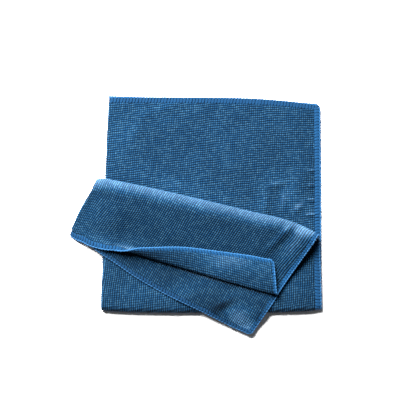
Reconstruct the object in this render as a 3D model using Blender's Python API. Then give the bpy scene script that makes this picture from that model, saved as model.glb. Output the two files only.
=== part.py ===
"""Square microfibre cleaning cloth, folded in quarters and partly turned back.

One knitted sheet about 400 mm square. It is folded left over right and back over
front into a square of four layers, its hems at the back and at the right. The upper
pair of layers is then folded forwards over a slanting crease, and the near corner of
its top layer is turned back again as a flap.

The sheet is a grid of points of its middle surface. Each point is named by two
fractions of the flat cloth, across (-1 to 1, 0 on the left fold) and along (1 on the
back hem, 0 on the front fold, -1 on the turned hem), and the folds are applied to it
one after the other. Metres, +Z up, origin under the middle of the object on the
surface on which it lies.
"""

import math
from typing import NamedTuple

import bmesh
import bpy
import numpy as np

# ---------------------------------------------------------------- driving sizes
THICKNESS = 0.0016              # of the knitted sheet
LAYER_GAP = 0.0007              # between two layers that lie on each other
FOLD_PRESS = 0.35               # share of the thickness lost where the left fold is pressed
FOLD_PRESS_WIDTH = 0.003
PITCH = THICKNESS + LAYER_GAP   # from one layer's middle to the next one's

HALF_WIDTH = 0.208              # left fold to right hem, at the front fold
BACK_DRAW_IN = 0.0035           # how much narrower the sheet is at its back hem
TURNED_DRAW_IN = 0.0095         # and at the hem of the turned part

LEFT_EDGE = -0.0878             # left fold, before it leans
FRONT_EDGE = -0.0880            # front fold, before it bows
BACK_LEAN = 0.014               # how the left fold leans inwards towards the back
BACK_LEAN_GROWTH = 0.06         # per metre, on top of it
FRONT_BOW = 0.0026              # the front fold stands out this far in its middle
FRONT_BOW_MIDDLE = 0.015
FRONT_BOW_HALF = 0.106
FRONT_BOW_DEPTH = 0.045

CREASE_ANGLE = math.radians(14.5)   # slant of the crease, falling to the right
CREASE_POINT = (-0.0880, 0.0310)
CREASE_LANDING = 0.060              # radius in which the turned part settles flat

FLAP_ANGLE = math.radians(15.4)     # slant of the flap's fold
FLAP_POINT = (-0.1191, -0.0182)     # the turned part's left corner, where it ends
FLAP_TIP_TURN = math.radians(155.0) # how far the flap's fold turns at its tip
FLAP_CROWN = 0.032                  # radius with which the flap's back arches

LEFT_DROOP = 0.0098             # how far the left corner hangs down past the base
LEFT_DROOP_SPAN = 0.031
LEFT_DROOP_POWER = 1.15
FRONT_DROOP = 0.0040            # and the near corner, which steps down past the front
FRONT_DROOP_START = 0.0004
FRONT_DROOP_SPAN = 0.016

PLAN_ORIGIN = (0.0012, 0.0015)  # middle of the outline in the places above

CLOTH_BLUE = (0.030, 0.105, 0.235, 1.0)
CLOTH_ROUGHNESS = 0.92


class Reach(NamedTuple):
    """How far the sheet reaches from the front fold, at one place across."""

    across: float
    back_upper: float
    back_lower: float
    turned_upper: float
    turned_lower: float


class LeftShift(NamedTuple):
    """Sideways shift of the turned part's left fold, at one place along."""

    along: float
    shift: float


class Loop(NamedTuple):
    """Section of the slanting crease, at one place along it."""

    place: float
    start: float
    radius: float
    crown: float
    descent: float


class Curl(NamedTuple):
    """Section of the flap's fold, at one place along it."""

    place: float
    start: float
    curvature: float
    descent: float


class CurlRows(NamedTuple):
    """Where the grid's rows round the flap's fold lie, at one place across."""

    across: float
    first: float
    turned: float
    last: float


class Mound(NamedTuple):
    """A soft rise of the upper layers."""

    x: float
    y: float
    length: float
    width: float
    turn: float
    height: float


REACHES = (
    Reach(0.000, 0.2044, 0.2058, 0.1772, 0.1772),
    Reach(0.060, 0.2043, 0.2055, 0.1855, 0.1852),
    Reach(0.120, 0.2042, 0.2051, 0.1921, 0.1916),
    Reach(0.165, 0.2042, 0.2048, 0.1916, 0.1936),
    Reach(0.210, 0.2041, 0.2045, 0.1905, 0.1957),
    Reach(0.250, 0.2041, 0.2043, 0.1886, 0.1970),
    Reach(0.375, 0.2039, 0.2043, 0.1921, 0.2012),
    Reach(0.500, 0.2038, 0.2043, 0.1953, 0.2024),
    Reach(0.750, 0.2021, 0.2018, 0.1945, 0.2008),
    Reach(1.000, 0.1968, 0.1983, 0.1886, 0.1992),
)

LEFT_SHIFTS = (
    LeftShift(0.00, 0.0000),
    LeftShift(0.45, 0.0000),
    LeftShift(0.62, -0.0080),
    LeftShift(0.70, -0.0040),
    LeftShift(0.78, -0.0016),
    LeftShift(0.86, -0.0042),
    LeftShift(0.94, -0.0045),
    LeftShift(1.00, -0.0033),
)

CREASE_LOOPS = (
    Loop(-0.020, -0.0122, 0.0060, 0.0086, 14.5),
    Loop(-0.012, -0.0096, 0.0062, 0.0090, 15.0),
    Loop(0.000, -0.0052, 0.0065, 0.0095, 16.0),
    Loop(0.012, -0.0043, 0.0065, 0.0097, 16.3),
    Loop(0.035, -0.0032, 0.0066, 0.0100, 17.0),
    Loop(0.090, -0.0016, 0.0066, 0.0104, 17.5),
    Loop(0.150, -0.0003, 0.0063, 0.0100, 17.0),
    Loop(0.185, 0.0002, 0.0060, 0.0090, 16.0),
    Loop(0.203, -0.0026, 0.0056, 0.0078, 15.0),
    Loop(0.216, -0.0046, 0.0052, 0.0068, 14.0),
)

FLAP_CURLS = (
    Curl(0.000, -0.0108, 0.0, 0.0),
    Curl(0.014, -0.0110, 2.0, 0.0),
    Curl(0.034, -0.0108, 14.0, 1.0),
    Curl(0.050, -0.0088, 60.0, 3.0),
    Curl(0.062, -0.0060, 150.0, 4.0),
    Curl(0.084, -0.0032, 225.0, 5.0),
    Curl(0.110, -0.0020, 280.0, 6.0),
    Curl(0.150, -0.0013, 310.0, 6.0),
    Curl(0.205, -0.0021, 310.0, 6.0),
)

BASE_MOUNDS = (
    Mound(0.069, 0.010, 0.022, 0.008, 80.0, 0.0016),
    Mound(0.092, 0.014, 0.018, 0.009, 60.0, 0.0013),
    Mound(0.104, 0.034, 0.016, 0.010, 100.0, 0.0014),
    Mound(0.050, 0.070, 0.050, 0.020, 60.0, 0.0009),
    Mound(-0.010, 0.088, 0.060, 0.018, 30.0, 0.0008),
    Mound(-0.068, 0.060, 0.040, 0.016, 85.0, 0.0010),
    Mound(-0.030, 0.040, 0.050, 0.018, 10.0, 0.0007),
    Mound(0.098, 0.080, 0.040, 0.014, 95.0, 0.0010),
)

STACK_MOUNDS = (
    Mound(0.010, -0.079, 0.105, 0.011, 0.0, 0.0012),
    Mound(-0.080, -0.040, 0.050, 0.009, 90.0, 0.0014),
    Mound(0.098, -0.066, 0.026, 0.018, 100.0, 0.0010),
)

TURNED_MOUNDS = (
    Mound(0.100, -0.026, 0.022, 0.009, 55.0, 0.0018),
    Mound(0.070, -0.020, 0.026, 0.010, 55.0, 0.0014),
    Mound(0.052, -0.118, 0.024, 0.012, -25.0, 0.0022),
    Mound(-0.078, -0.010, 0.030, 0.012, 60.0, 0.0010),
    Mound(0.006, -0.072, 0.034, 0.010, 30.0, 0.0012),
)

# ---------------------------------------------------------------- grid of the sheet
CURL_LINES = (
    CurlRows(0.0, -0.1660, -0.1700, -0.1740),
    CurlRows(0.3, -0.1750, -0.1840, -0.1880),
    CurlRows(0.4, -0.1750, -0.1888, -0.1912),
    CurlRows(0.5, -0.1718, -0.1842, -0.1915),
    CurlRows(0.7, -0.1648, -0.1750, -0.1922),
    CurlRows(1.0, -0.1476, -0.1592, -0.1785),
)
FOLD_SEGMENTS = 6               # of the left fold, from layer to layer
SIDE_COLUMNS = 16               # from there to the hem
FRONT_SEGMENTS = 8              # of the front fold
BACK_ROWS = 16                  # front fold to back hem
LOWER_ROWS = 6                  # front fold to crease
LOOP_ROWS = 12                  # round the crease
LOOP_LENGTH = 0.0290            # of the sheet that goes round it
STRIP_ROWS = 5                  # crease to flap
TIP_ROWS = 7                    # round the tip of the flap's fold
ARCH_ROWS = 4                   # over the flap's arched back
FLAP_ROWS = 3                   # from there to the hem
GROWTH = 1.25                   # how the spacing grows away from a quarter fold


def clear_scene():
    """Remove what an opened file holds."""
    for old in list(bpy.data.objects):
        bpy.data.objects.remove(old, do_unlink=True)


def column(rows, name):
    """One named column of a table."""
    return np.array([getattr(row, name) for row in rows])


def smooth_table(x, rows, key, name):
    """Read a table's column at x, with a smooth curve through its rows."""
    places = column(rows, key)
    values = column(rows, name)
    slopes = np.gradient(values, places)
    i = np.clip(np.searchsorted(places, x) - 1, 0, len(places) - 2)
    span = places[i + 1] - places[i]
    t = np.clip((x - places[i]) / span, 0.0, 1.0)
    rise = 3.0 * t ** 2 - 2.0 * t ** 3
    enter = t * (1.0 - t) ** 2
    leave = t ** 2 * (t - 1.0)
    return (values[i] + rise * (values[i + 1] - values[i])
            + span * (enter * slopes[i] + leave * slopes[i + 1]))


def ease(x, low, high):
    """Rise smoothly from 0 at low to 1 at high."""
    t = np.clip((x - low) / (high - low), 0.0, 1.0)
    return t * t * (3.0 - 2.0 * t)


def reach_of(across, upper, lower):
    """Reach of the upper sheet (across > 0) or of the lower one."""
    away = np.abs(across)
    return np.where(across > 0.0, smooth_table(away, REACHES, "across", upper),
                    smooth_table(away, REACHES, "across", lower))


def lay_flat(across, along):
    """Distances from the two quarter folds on the flat cloth."""
    draw_in = np.where(along > 0.0, BACK_DRAW_IN, TURNED_DRAW_IN)
    u = across * (HALF_WIDTH - draw_in * along ** 2)
    reach = np.where(along > 0.0, reach_of(across, "back_upper", "back_lower"),
                     reach_of(across, "turned_upper", "turned_lower"))
    return u, along * reach


def fold_left(u):
    """Fold the right half under the left one: distance from the fold, and side."""
    radius = PITCH / 2.0
    quarter = radius * math.pi / 2.0
    angle = np.clip(u / radius, -math.pi / 2.0, math.pi / 2.0)
    away = radius * (1.0 - np.cos(angle)) + np.maximum(np.abs(u) - quarter, 0.0)
    return away, radius * np.sin(angle)


def place_left_fold(across, along, v):
    """Where the left fold stands at each row."""
    back = BACK_LEAN * v + BACK_LEAN_GROWTH * v ** 2
    shift = smooth_table(-along, LEFT_SHIFTS, "along", "shift")
    return LEFT_EDGE + np.where(v > 0.0, back, shift * (1.0 - np.abs(across)) ** 3)


def fold_front(v, side):
    """Fold the pair over its front edge: distance back, and height."""
    radius = PITCH
    quarter = radius * math.pi / 2.0
    angle = np.clip(-v / radius, -math.pi / 2.0, math.pi / 2.0)
    back = (radius * (1.0 - np.cos(angle)) + side * np.cos(angle)
            + np.maximum(np.abs(v) - quarter, 0.0))
    middle = THICKNESS / 2.0 + PITCH / 2.0 + radius
    return back, middle + (radius - side) * np.sin(angle)


def teardrop(past, radius, crown, descent):
    """A loop that turns over and settles on itself.

    It has one radius up to its outermost point and another over its crown. Gives the
    forward distance, the height and the slope of a point that lies the length past
    beyond the loop's start.
    """
    half = math.pi / 2.0
    turn = math.pi + descent
    crown_start = half * radius
    round_end = crown_start + (half + descent) * crown
    top = radius + crown * np.cos(descent)
    landing = CREASE_LANDING * (1.0 - np.cos(descent))
    slide = np.maximum((top - 2.0 * PITCH - landing) / np.sin(descent), 0.0)
    slide_end = round_end + slide
    settle_end = slide_end + descent * CREASE_LANDING

    rising = np.minimum(past, crown_start) / radius
    over = half + np.clip(past - crown_start, 0.0, round_end - crown_start) / crown
    on_slide = np.clip(past - round_end, 0.0, slide)
    settled = np.clip(past - slide_end, 0.0, settle_end - slide_end) / CREASE_LANDING
    flat = np.maximum(past - settle_end, 0.0)

    forward = (radius * np.sin(rising) + crown * (np.sin(over) - 1.0)
               - on_slide * np.cos(descent)
               - CREASE_LANDING * (np.sin(descent) - np.sin(descent - settled)) - flat)
    height = (radius * (1.0 - np.cos(rising)) - crown * np.cos(over)
              - on_slide * np.sin(descent)
              - CREASE_LANDING * (np.cos(descent - settled) - np.cos(descent)))
    slope = np.where(past < crown_start, rising, over)
    slope = np.where(past < round_end, slope, turn - settled)
    return forward, height, slope


def fold_crease(x, y, z, side, upper):
    """Turn the upper pair forwards over the slanting crease."""
    ax, ay = math.cos(CREASE_ANGLE), -math.sin(CREASE_ANGLE)
    bx, by = math.sin(CREASE_ANGLE), math.cos(CREASE_ANGLE)
    rx, ry = x - CREASE_POINT[0], y - CREASE_POINT[1]
    place = rx * ax + ry * ay
    depth = rx * bx + ry * by
    start = smooth_table(place, CREASE_LOOPS, "place", "start")
    radius = smooth_table(place, CREASE_LOOPS, "place", "radius")
    crown = smooth_table(place, CREASE_LOOPS, "place", "crown")
    descent = np.radians(smooth_table(place, CREASE_LOOPS, "place", "descent"))
    past = np.maximum(depth - start, 0.0)
    turned = upper & (past > 0.0)
    forward, height, slope = teardrop(past, radius, crown, descent)
    shift = start + forward + side * np.sin(slope)
    level = THICKNESS / 2.0 + 2.5 * PITCH
    x = np.where(turned, CREASE_POINT[0] + place * ax + shift * bx, x)
    y = np.where(turned, CREASE_POINT[1] + place * ay + shift * by, y)
    z = np.where(turned, level + height - side * np.cos(slope), z)
    return x, y, z, turned, ease(past, 0.0, 0.5 * math.pi * radius)


def fold_flap(x, y, z, loose):
    """Turn the near corner of the top layer back as a flap.

    The fold turns tightly at its tip, then the flap's back arches over and comes down.
    """
    ax, ay = math.cos(FLAP_ANGLE), -math.sin(FLAP_ANGLE)
    bx, by = -math.sin(FLAP_ANGLE), -math.cos(FLAP_ANGLE)
    rx, ry = x - FLAP_POINT[0], y - FLAP_POINT[1]
    place = rx * ax + ry * ay
    depth = rx * bx + ry * by
    start = smooth_table(place, FLAP_CURLS, "place", "start")
    curvature = np.maximum(smooth_table(place, FLAP_CURLS, "place", "curvature"), 0.01)
    descent = np.radians(smooth_table(place, FLAP_CURLS, "place", "descent"))
    past = depth - start
    tip = np.minimum(np.maximum(past, 0.0) * curvature, FLAP_TIP_TURN)
    beyond = np.maximum(past - FLAP_TIP_TURN / curvature, 0.0)
    arch = math.pi + descent - FLAP_TIP_TURN
    back = FLAP_TIP_TURN + np.minimum(beyond / FLAP_CROWN, arch)
    rest = np.maximum(beyond - arch * FLAP_CROWN, 0.0)
    shift = (start + np.sin(tip) / curvature - rest * np.cos(descent)
             + FLAP_CROWN * (np.sin(back) - math.sin(FLAP_TIP_TURN)))
    rise = ((1.0 - np.cos(tip)) / curvature - rest * np.sin(descent)
            + FLAP_CROWN * (math.cos(FLAP_TIP_TURN) - np.cos(back)))
    lifted = loose & (past > 0.0)
    x = np.where(lifted, FLAP_POINT[0] + place * ax + shift * bx, x)
    y = np.where(lifted, FLAP_POINT[1] + place * ay + shift * by, y)
    return x, y, np.where(lifted, z + rise, z)


def rise_of(x, y, mounds):
    """Height that a table of mounds adds at each place."""
    total = np.zeros_like(x)
    for mound in mounds:
        turn = math.radians(mound.turn)
        rx, ry = x - mound.x, y - mound.y
        along = (rx * math.cos(turn) + ry * math.sin(turn)) / mound.length
        across = (ry * math.cos(turn) - rx * math.sin(turn)) / mound.width
        total = total + mound.height * np.exp(-along ** 2 - across ** 2)
    return total


def settle(x, y, z, turned, over):
    """Loosen the layers, droop what overhangs and bow the front fold."""
    level = z - THICKNESS / 2.0
    z = z + rise_of(x, y, BASE_MOUNDS) * np.clip(level / PITCH, 0.0, 1.0)
    z = z + rise_of(x, y, STACK_MOUNDS) * np.clip(level / (3.0 * PITCH), 0.0, 1.0)
    z = z + np.where(turned, rise_of(x, y, TURNED_MOUNDS) * over, 0.0)
    left = np.maximum(LEFT_EDGE - 0.0005 - x, 0.0) / LEFT_DROOP_SPAN
    front = ease(FRONT_EDGE - FRONT_DROOP_START - y, 0.0, FRONT_DROOP_SPAN)
    droop = LEFT_DROOP * left ** LEFT_DROOP_POWER + FRONT_DROOP * front
    z = np.where(turned, z - droop, z)
    bow = np.clip(1.0 - ((x - FRONT_BOW_MIDDLE) / FRONT_BOW_HALF) ** 4, 0.0, 1.0)
    y = y - FRONT_BOW * bow * (1.0 - ease(y, FRONT_EDGE, FRONT_EDGE + FRONT_BOW_DEPTH))
    return x, y, z


def fold_cloth(across, along):
    """Places of the folded sheet's middle surface."""
    u, v = lay_flat(across, along)
    away, side = fold_left(u)
    x = place_left_fold(across, along, v) + away
    back, z = fold_front(v, side)
    y = FRONT_EDGE + back
    upper = v < -PITCH * math.pi / 2.0
    x, y, z, turned, over = fold_crease(x, y, z, side, upper)
    x, y, z = fold_flap(x, y, z, turned & (over >= 1.0) & (u > 0.0))
    x, y, z = settle(x, y, z, turned, over)
    return x - PLAN_ORIGIN[0], y - PLAN_ORIGIN[1], z


def spread(first, last, count, growth=1.0):
    """Places after first up to last, closer together near first if growth is over 1."""
    share = (np.arange(1, count + 1) / count) ** growth
    return first + (last - first) * share


def grid_columns():
    """Fractions across the cloth at which the grid has its columns."""
    quarter = PITCH / 2.0 * math.pi / 2.0
    arc = spread(0.0, quarter, FOLD_SEGMENTS // 2)
    side = np.concatenate((arc, spread(quarter, HALF_WIDTH, SIDE_COLUMNS, GROWTH)))
    return np.concatenate((-side[::-1], [0.0], side)) / HALF_WIDTH


def grid_rows(across):
    """Fractions along the cloth of one column's rows, from turned to back hem."""
    away = abs(across)
    reach = float(smooth_table(away, REACHES, "across", "turned_upper"))
    quarter = PITCH * math.pi / 2.0
    fall = away * HALF_WIDTH * math.tan(CREASE_ANGLE)
    crease = FRONT_EDGE - CREASE_POINT[1] + fall
    loop_end = crease - LOOP_LENGTH / math.cos(CREASE_ANGLE)
    curl = float(smooth_table(away, CURL_LINES, "across", "first"))
    curl_turned = float(smooth_table(away, CURL_LINES, "across", "turned"))
    curl_end = float(smooth_table(away, CURL_LINES, "across", "last"))
    turned = np.concatenate((
        np.linspace(quarter, -quarter, FRONT_SEGMENTS + 1),
        spread(-quarter, crease, LOWER_ROWS, GROWTH),
        spread(crease, loop_end, LOOP_ROWS),
        spread(loop_end, curl, STRIP_ROWS),
        spread(curl, curl_turned, TIP_ROWS),
        spread(curl_turned, curl_end, ARCH_ROWS),
        spread(curl_end, -reach, FLAP_ROWS),
    )) / reach
    back = spread(turned[0], 1.0, BACK_ROWS, GROWTH)
    return np.concatenate((turned[::-1], back))


def cloth_material():
    """Dry blue microfibre."""
    material = bpy.data.materials.new("cloth_blue")
    material.use_nodes = True
    shader = material.node_tree.nodes["Principled BSDF"]
    shader.inputs["Base Color"].default_value = CLOTH_BLUE
    shader.inputs["Roughness"].default_value = CLOTH_ROUGHNESS
    shader.inputs["Metallic"].default_value = 0.0
    return material


def press_fold(cloth, across):
    """Weigh the wall so that it is a little thinner on the left fold."""
    away = across * HALF_WIDTH / FOLD_PRESS_WIDTH
    share = 1.0 - FOLD_PRESS * np.exp(-away ** 2)
    group = cloth.vertex_groups.new(name="wall")
    for index, weight in enumerate(share):
        group.add([index], float(weight), "REPLACE")


def make_cloth():
    """The folded sheet, one closed solid of the cloth's own thickness."""
    columns = grid_columns()
    rows = np.array([grid_rows(across) for across in columns])
    last_column = len(columns) - 1
    last_row = rows.shape[1] - 1
    bm = bmesh.new()
    bmesh.ops.create_grid(bm, x_segments=last_column, y_segments=last_row, size=1.0)
    i = np.array([round((v.co.x + 1.0) / 2.0 * last_column) for v in bm.verts])
    j = np.array([round((v.co.y + 1.0) / 2.0 * last_row) for v in bm.verts])
    places = np.stack(fold_cloth(columns[i], rows[i, j]), axis=-1)
    for vertex, place in zip(bm.verts, places):
        vertex.co = place
    bmesh.ops.recalc_face_normals(bm, faces=bm.faces)
    mesh = bpy.data.meshes.new("cloth")
    bm.to_mesh(mesh)
    bm.free()
    mesh.shade_smooth()
    cloth = bpy.data.objects.new("cloth", mesh)
    cloth.data.materials.append(cloth_material())
    bpy.context.collection.objects.link(cloth)
    press_fold(cloth, columns[i])
    wall = cloth.modifiers.new("wall", "SOLIDIFY")
    wall.thickness = THICKNESS
    wall.vertex_group = "wall"
    wall.offset = 0.0
    wall.use_rim = True
    return cloth


clear_scene()
make_cloth()
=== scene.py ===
"""Folded microfibre cloth: one knitted square with overlocked hems, dressed round the CAD part.

The sheet is folded by the same rules as the CAD solid. A place on it is named by two
fractions of the flat cloth, across and along, and by a height over its middle surface.
The knit's loops, the hems' threads and the plain core of the sheet are all made flat,
in those three numbers, and then folded together. Metres, +Z up.
"""

import logging
import math
from dataclasses import dataclass, field
from enum import Enum
from typing import Callable, NamedTuple, Sequence

import bmesh
import bpy
import numpy as np
from bpy.types import Material, Mesh, Node, NodeSocket, Object, World
from mathutils import Matrix, Vector
from mathutils.bvhtree import BVHTree


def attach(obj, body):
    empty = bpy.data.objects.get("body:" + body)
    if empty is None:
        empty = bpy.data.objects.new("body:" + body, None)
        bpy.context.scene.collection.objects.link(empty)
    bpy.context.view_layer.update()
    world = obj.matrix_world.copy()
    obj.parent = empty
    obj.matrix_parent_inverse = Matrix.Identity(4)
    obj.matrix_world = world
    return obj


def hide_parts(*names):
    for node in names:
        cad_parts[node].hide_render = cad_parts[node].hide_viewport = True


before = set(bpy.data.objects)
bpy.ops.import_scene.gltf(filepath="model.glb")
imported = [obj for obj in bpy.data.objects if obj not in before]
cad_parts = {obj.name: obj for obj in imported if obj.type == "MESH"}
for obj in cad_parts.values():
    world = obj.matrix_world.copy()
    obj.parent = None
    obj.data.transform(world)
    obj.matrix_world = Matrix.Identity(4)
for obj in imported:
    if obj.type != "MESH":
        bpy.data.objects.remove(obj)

Array = np.ndarray
BMesh = bmesh.types.BMesh
Colour = tuple[float, float, float]

LOG = logging.getLogger("microfibre_cloth")
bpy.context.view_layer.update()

# The sheet's sizes.
THICKNESS = 0.0016
LAYER_GAP = 0.0007
PITCH = THICKNESS + LAYER_GAP       # from one layer's middle to the next one's
HALF_WIDTH = 0.208                  # left fold to right hem, at the front fold
MEAN_REACH = 0.2035                 # front fold to back hem, on the average
HALF_SIZE = np.array([[HALF_WIDTH], [MEAN_REACH]])
BACK_DRAW_IN = 0.0035
TURNED_DRAW_IN = 0.0095
LEFT_EDGE = -0.0878
FRONT_EDGE = -0.0880
BACK_LEAN = 0.014
BACK_LEAN_GROWTH = 0.06
FRONT_BOW = 0.0026
FRONT_BOW_MIDDLE = 0.015
FRONT_BOW_HALF = 0.106
FRONT_BOW_DEPTH = 0.045
CREASE_ANGLE = math.radians(14.5)
CREASE_POINT = (-0.0880, 0.0310)
CREASE_LANDING = 0.060
FLAP_ANGLE = math.radians(15.4)
FLAP_POINT = (-0.1191, -0.0182)
FLAP_TIP_TURN = math.radians(155.0)
FLAP_CROWN = 0.032                  # radius with which the flap's back arches
LEAST_CURVATURE = 0.01              # of the flap's fold, where the table has none
LEFT_DROOP = 0.0098
LEFT_DROOP_START = 0.0005
LEFT_DROOP_SPAN = 0.031
LEFT_DROOP_POWER = 1.15
FRONT_DROOP = 0.0040
FRONT_DROOP_START = 0.0004
FRONT_DROOP_SPAN = 0.016
PLAN_ORIGIN = (0.0012, 0.0015)
CORNER_RADIUS = 0.0035              # the hems round the cut square's corners
FLOOR_CLEARANCE = 0.00002           # lowest place of threads and loops
PAINTED_LIGHT_TURN = math.radians(18.0)       # painted highlight falls on cloth facing back and a little left
PAINTED_HIGHLIGHT = 2.0                      # how much lighter, as painted highlight, where the cloth faces that way
PAINTED_SHADE = 0.45                     # and how much darker, as painted shade, where it faces forwards
PAINTED_LIGHT_LIMITS = (0.45, 3.0)
PAINTED_SHEEN_FROM = 1.3                     # painted light above which a painted sheen pales the yarn too
PAINTED_SHEEN = (0.015, 0.016, 0.013)        # what the painted sheen then adds to the colour of the yarn
WHITE = (1.0, 1.0, 1.0, 1.0)
PER_METRE = 1000.0                  # millimetres, in which the threads' table is written


class Reach(NamedTuple):
    """How far the sheet reaches from the front fold, at one place across."""

    across: float
    back_upper: float
    back_lower: float
    turned_upper: float
    turned_lower: float


class LeftShift(NamedTuple):
    """Sideways shift of the turned part's left fold, at one place along."""

    along: float
    shift: float


class Loop(NamedTuple):
    """Section of the slanting crease, at one place along it."""

    place: float
    start: float
    radius: float
    crown: float
    descent: float


class Curl(NamedTuple):
    """Section of the flap's fold, at one place along it."""

    place: float
    start: float
    curvature: float
    descent: float


class Mound(NamedTuple):
    """A soft rise: its middle, half sizes, turn in degrees and height, or gain in light."""

    x: float
    y: float
    length: float
    width: float
    turn: float
    height: float


REACHES = (
    Reach(0.000, 0.2044, 0.2058, 0.1772, 0.1772),
    Reach(0.060, 0.2043, 0.2055, 0.1855, 0.1852),
    Reach(0.120, 0.2042, 0.2051, 0.1921, 0.1916),
    Reach(0.165, 0.2042, 0.2048, 0.1916, 0.1936),
    Reach(0.210, 0.2041, 0.2045, 0.1905, 0.1957),
    Reach(0.250, 0.2041, 0.2043, 0.1886, 0.1970),
    Reach(0.375, 0.2039, 0.2043, 0.1921, 0.2012),
    Reach(0.500, 0.2038, 0.2043, 0.1953, 0.2024),
    Reach(0.750, 0.2021, 0.2018, 0.1945, 0.2008),
    Reach(1.000, 0.1968, 0.1983, 0.1886, 0.1992),
)
LEFT_SHIFTS = (
    LeftShift(0.00, 0.0000),
    LeftShift(0.45, 0.0000),
    LeftShift(0.62, -0.0080),
    LeftShift(0.70, -0.0040),
    LeftShift(0.78, -0.0016),
    LeftShift(0.86, -0.0042),
    LeftShift(0.94, -0.0045),
    LeftShift(1.00, -0.0033),
)
CREASE_LOOPS = (
    Loop(-0.020, -0.0122, 0.0060, 0.0086, 14.5),
    Loop(-0.012, -0.0096, 0.0062, 0.0090, 15.0),
    Loop(0.000, -0.0052, 0.0065, 0.0095, 16.0),
    Loop(0.012, -0.0043, 0.0065, 0.0097, 16.3),
    Loop(0.035, -0.0032, 0.0066, 0.0100, 17.0),
    Loop(0.090, -0.0016, 0.0066, 0.0104, 17.5),
    Loop(0.150, -0.0003, 0.0063, 0.0100, 17.0),
    Loop(0.185, 0.0002, 0.0060, 0.0090, 16.0),
    Loop(0.203, -0.0026, 0.0056, 0.0078, 15.0),
    Loop(0.216, -0.0046, 0.0052, 0.0068, 14.0),
)
FLAP_CURLS = (
    Curl(0.000, -0.0108, 0.0, 0.0),
    Curl(0.014, -0.0110, 2.0, 0.0),
    Curl(0.034, -0.0108, 14.0, 1.0),
    Curl(0.050, -0.0088, 60.0, 3.0),
    Curl(0.062, -0.0060, 150.0, 4.0),
    Curl(0.084, -0.0032, 225.0, 5.0),
    Curl(0.110, -0.0020, 280.0, 6.0),
    Curl(0.150, -0.0013, 310.0, 6.0),
    Curl(0.205, -0.0021, 310.0, 6.0),
)
BASE_MOUNDS = (
    Mound(0.069, 0.010, 0.022, 0.008, 80.0, 0.0016),
    Mound(0.092, 0.014, 0.018, 0.009, 60.0, 0.0013),
    Mound(0.104, 0.034, 0.016, 0.010, 100.0, 0.0014),
    Mound(0.050, 0.070, 0.050, 0.020, 60.0, 0.0009),
    Mound(-0.010, 0.088, 0.060, 0.018, 30.0, 0.0008),
    Mound(-0.068, 0.060, 0.040, 0.016, 85.0, 0.0010),
    Mound(-0.030, 0.040, 0.050, 0.018, 10.0, 0.0007),
    Mound(0.098, 0.080, 0.040, 0.014, 95.0, 0.0010),
)
STACK_MOUNDS = (
    Mound(0.010, -0.079, 0.105, 0.011, 0.0, 0.0012),
    Mound(-0.080, -0.040, 0.050, 0.009, 90.0, 0.0014),
    Mound(0.098, -0.066, 0.026, 0.018, 100.0, 0.0010),
)
TURNED_MOUNDS = (
    Mound(0.100, -0.026, 0.022, 0.009, 55.0, 0.0018),
    Mound(0.070, -0.020, 0.026, 0.010, 55.0, 0.0014),
    Mound(0.052, -0.118, 0.024, 0.012, -25.0, 0.0022),
    Mound(-0.078, -0.010, 0.030, 0.012, 60.0, 0.0010),
    Mound(0.006, -0.072, 0.034, 0.010, 30.0, 0.0012),
)
BASE_WRINKLES = (
    Mound(0.1000, 0.0068, 0.006, 0.0030, 40.0, 0.0013),
    Mound(0.0785, 0.0296, 0.007, 0.0028, 15.0, 0.0009),
    Mound(0.0686, 0.0105, 0.009, 0.0022, 95.0, 0.0008),
    Mound(0.0862, 0.0125, 0.008, 0.0022, 95.0, 0.0008),
    Mound(0.1125, 0.0005, 0.0016, 0.0050, 90.0, 0.0009),
    Mound(0.1130, 0.0145, 0.0016, 0.0050, 90.0, 0.0008),
    Mound(0.1125, 0.0290, 0.0016, 0.0055, 90.0, 0.0009),
    Mound(0.1133, 0.0430, 0.0016, 0.0050, 90.0, 0.0008),
    Mound(-0.0535, 0.0840, 0.016, 0.0060, 70.0, 0.0008),
    Mound(-0.0315, 0.1030, 0.014, 0.0050, 20.0, 0.0007),
)
TURNED_WRINKLES = (
    Mound(0.0775, -0.0255, 0.0150, 0.0036, 43.0, 0.0017),
    Mound(0.0868, -0.0165, 0.0070, 0.0030, 43.0, 0.0009),
    Mound(0.0255, -0.0830, 0.0100, 0.0034, 27.0, 0.0015),
    Mound(0.0425, -0.0975, 0.0070, 0.0040, 10.0, 0.0008),
)


def column(rows: Sequence[NamedTuple], name: str) -> Array:
    """One named column of a table."""
    return np.array([getattr(row, name) for row in rows])


def smooth_table(x: Array, rows: Sequence[NamedTuple], name: str) -> Array:
    """Read one column of a table with a smooth curve through its rows.

    Args:
        x: the places to read at, in the terms of the table's first column.
        rows: the table.
        name: the column to read.

    Returns:
        The values at x.
    """
    places = column(rows, rows[0]._fields[0])
    values = column(rows, name)
    slopes = np.gradient(values, places)
    i = np.clip(np.searchsorted(places, x) - 1, 0, len(places) - 2)
    span = places[i + 1] - places[i]
    t = np.clip((x - places[i]) / span, 0.0, 1.0)
    rise = 3.0 * t ** 2 - 2.0 * t ** 3
    enter = t * (1.0 - t) ** 2
    leave = t ** 2 * (t - 1.0)
    return (values[i] + rise * (values[i + 1] - values[i])
            + span * (enter * slopes[i] + leave * slopes[i + 1]))


def ease(x: Array, low: float, high: float) -> Array:
    """Rise smoothly from 0 at low to 1 at high."""
    t = np.clip((x - low) / (high - low), 0.0, 1.0)
    return t * t * (3.0 - 2.0 * t)


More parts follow.
